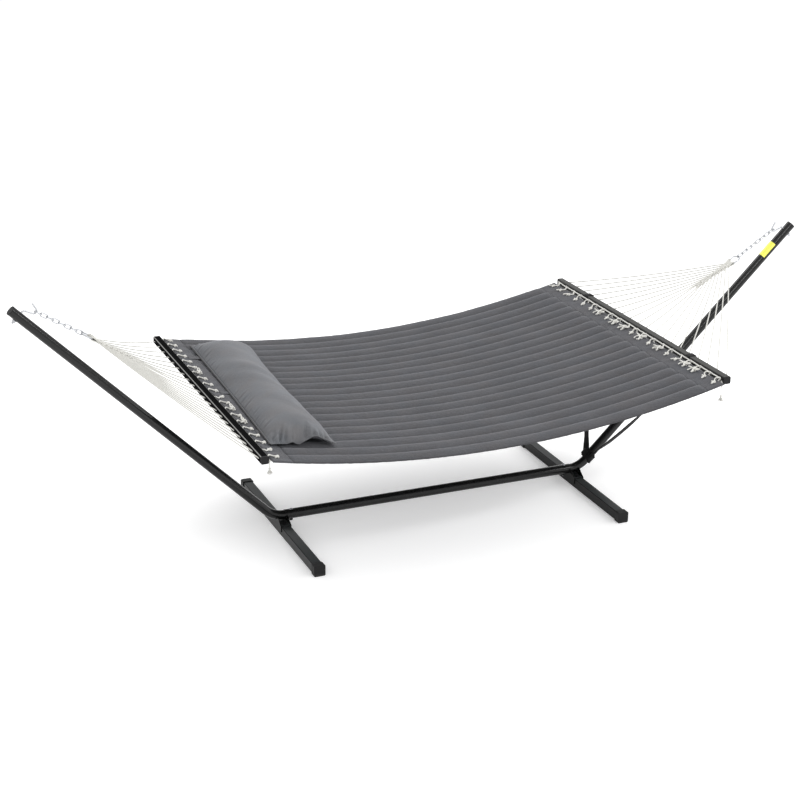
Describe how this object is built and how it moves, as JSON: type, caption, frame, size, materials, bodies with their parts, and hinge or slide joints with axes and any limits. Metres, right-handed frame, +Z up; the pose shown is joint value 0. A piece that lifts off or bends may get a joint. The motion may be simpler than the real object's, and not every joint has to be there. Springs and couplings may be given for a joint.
{
  "type": "hammock on stand",
  "caption": "Quilted spreader-bar hammock with a long pillow, hung by ropes, rings and chains from hooks on a bolted steel stand with angled arms and cross feet.",
  "frame": {"origin": "on the floor under the middle of the stand", "axes": "+X along the hammock from the pillow end to the foot end, +Y across it, +Z up"},
  "size_m": [3.411, 1.45, 1.0769],
  "materials": {
    "stand_steel": "satin black powder coat",
    "cap_plastic": "moulded black plastic",
    "zinc_hardware": "zinc-plated steel",
    "bar_paint": "satin black paint",
    "yellow_label": "plain yellow vinyl sticker",
    "black_webbing": "woven webbing",
    "white_rope": "braided polyester rope",
    "quilt_fabric": "quilted outdoor fabric",
    "pillow_fabric": "smooth outdoor fabric"
  },
  "bodies": {
    "stand": {"base_tube": "stand_steel", "arm_left": "stand_steel", "arm_right": "stand_steel", "arm_cap_left": "cap_plastic", "arm_cap_right": "cap_plastic", "foot_bar_left": "stand_steel", "foot_bar_right": "stand_steel", "foot_cap_left_front": "cap_plastic", "foot_cap_left_back": "cap_plastic", "foot_cap_right_front": "cap_plastic", "foot_cap_right_back": "cap_plastic", "saddle_left": "stand_steel", "saddle_right": "stand_steel", "joint_bolts": "zinc_hardware", "joint_nuts": "zinc_hardware", "foot_bolts": "zinc_hardware", "foot_nuts": "zinc_hardware", "hook_left": "zinc_hardware", "hook_right": "zinc_hardware", "hook_nuts": "zinc_hardware", "hook_washers": "zinc_hardware", "label": "yellow_label", "strap_loop": "black_webbing"},
    "hammock": {"strap_legs": "black_webbing", "strap_wraps": "black_webbing", "chain_left": "zinc_hardware", "chain_right": "zinc_hardware", "ring_left": "zinc_hardware", "ring_right": "zinc_hardware", "clew_left": "white_rope", "clew_right": "white_rope", "rope_fan_left": "white_rope", "rope_fan_right": "white_rope", "spreader_bar_left": "bar_paint", "spreader_bar_right": "bar_paint", "bar_caps_left": "cap_plastic", "bar_caps_right": "cap_plastic", "lacing_left": "white_rope", "lacing_right": "white_rope", "grommets_left": "zinc_hardware", "grommets_right": "zinc_hardware", "hem_left": "quilt_fabric", "hem_right": "quilt_fabric", "bed": "quilt_fabric", "pillow_tabs": "pillow_fabric", "rope_tail_left": "white_rope", "rope_tail_right": "white_rope"},
    "pillow": {"pillow": "pillow_fabric"}
  },
  "joints": [
    {"name": "hammock_swing", "type": "hinge", "parent": "stand", "child": "hammock", "pos_m": [0, 0, 1.0455], "axis": [1, 0, 0], "range_deg": [-10, 10], "deforming": ["strap_legs"]},
    {"name": "pillow_flip", "type": "hinge", "parent": "hammock", "child": "pillow", "pos_m": [-0.8719, 0, 0.62], "axis": [-0.042, -0.9991, 0.0078], "range_deg": [0, 75]}
  ]
}
